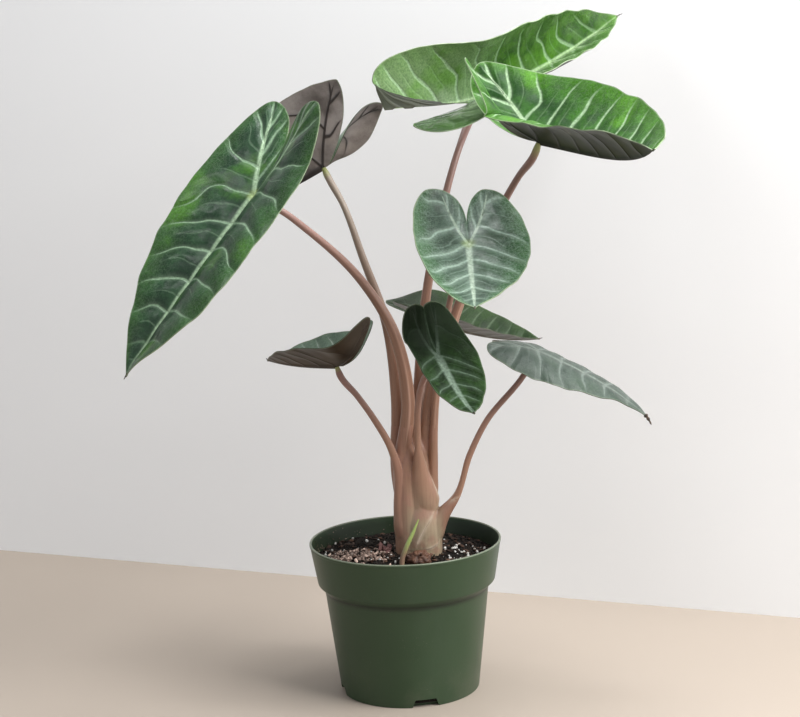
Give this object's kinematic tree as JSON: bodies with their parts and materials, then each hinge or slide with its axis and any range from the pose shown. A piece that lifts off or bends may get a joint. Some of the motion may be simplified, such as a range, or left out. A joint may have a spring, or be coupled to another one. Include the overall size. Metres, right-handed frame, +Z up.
{
  "type": "potted alocasia",
  "caption": "Potted alocasia with arrow-shaped leaves on slender pink-brown leaf stalks that join in one stem, in a round nursery pot filled with soil.",
  "frame": {"origin": "centre of the pot's underside, on the ground", "axes": "+Z up along the pot's axis and along the plant's height, -Y towards the front of the plant"},
  "size_m": [0.4297, 0.377, 0.5766],
  "materials": {
    "pot_plastic": "dark green satin moulded plastic",
    "potting_soil": "dark moist potting mix with bark and perlite grains",
    "corm_skin": "rough reddish-brown skin",
    "shoot_skin": "smooth, pink-brown at the foot and light green at the tip",
    "stem_skin": "satin, pale tan at the foot and pink-brown above",
    "petiole_skin": "smooth satin pink-brown",
    "leaf_green": "glossy green upper face with pale veins, dark brown underside",
    "leaf_silver": "satin silvery green upper face with pale veins"
  },
  "bodies": {
    "root": {"pot": "pot_plastic", "soil": "potting_soil", "corm": "corm_skin", "young_shoot": "shoot_skin", "stem": "stem_skin", "petiole_large_left": "petiole_skin", "petiole_upper_left": "petiole_skin", "petiole_top": "petiole_skin", "petiole_top_right": "petiole_skin", "petiole_centre": "petiole_skin", "petiole_front": "petiole_skin", "petiole_back": "petiole_skin", "petiole_right": "petiole_skin", "petiole_lower_left": "petiole_skin", "blade_large_left": "leaf_green", "blade_upper_left": "leaf_green", "blade_top": "leaf_green", "blade_top_right": "leaf_green", "blade_centre": "leaf_silver", "blade_front": "leaf_green", "blade_back": "leaf_green", "blade_right": "leaf_silver", "blade_lower_left": "leaf_green"}
  },
  "joints": []
}
